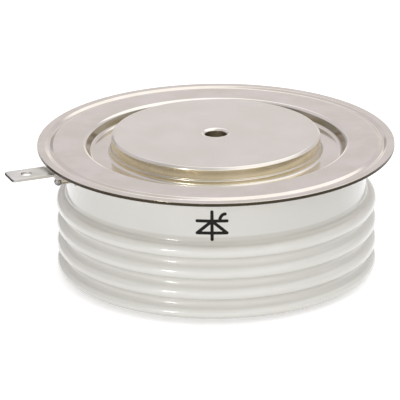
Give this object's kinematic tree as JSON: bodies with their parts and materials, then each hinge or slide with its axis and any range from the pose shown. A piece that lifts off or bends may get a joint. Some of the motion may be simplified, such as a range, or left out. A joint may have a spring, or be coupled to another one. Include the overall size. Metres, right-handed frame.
{
  "type": "disc thyristor",
  "caption": "Disc thyristor in a white ribbed ceramic capsule, with flat nickel-plated contacts on its faces, a thin welded flange and a gate tab at the side. It is clamped between heat sinks.",
  "frame": {"origin": "centre of the anode contact face, at the bottom", "axes": "+Z along the axis towards the cathode contact face, which is the flanged side; -X towards the gate tab"},
  "size_m": [0.0724, 0.065, 0.026],
  "materials": {
    "glazed_ceramic": "gloss",
    "nickel_contact": "satin",
    "nickel_sheet": "satin",
    "silicon": "polished",
    "molybdenum": "satin",
    "silver": "satin",
    "silicone_rubber": "satin",
    "ptfe": "matte",
    "solder": "satin",
    "spring_steel": "satin"
  },
  "bodies": {
    "root": {"ceramic_housing": "glazed_ceramic", "cathode_pole": "nickel_contact", "cathode_flange": "nickel_sheet", "cathode_weld_ring": "nickel_sheet", "anode_pole": "nickel_contact", "anode_flange": "nickel_sheet", "silicon_wafer": "silicon", "anode_disc": "molybdenum", "cathode_disc": "molybdenum", "cathode_foil": "silver", "wafer_seal": "silicone_rubber", "centring_ring": "ptfe", "gate_tube": "nickel_sheet", "gate_tube_seal": "solder", "gate_tab": "nickel_sheet", "gate_lead": "silver", "gate_lead_sleeve": "ptfe", "gate_insulator": "ptfe", "gate_pin": "molybdenum", "gate_spring": "spring_steel"}
  },
  "joints": []
}
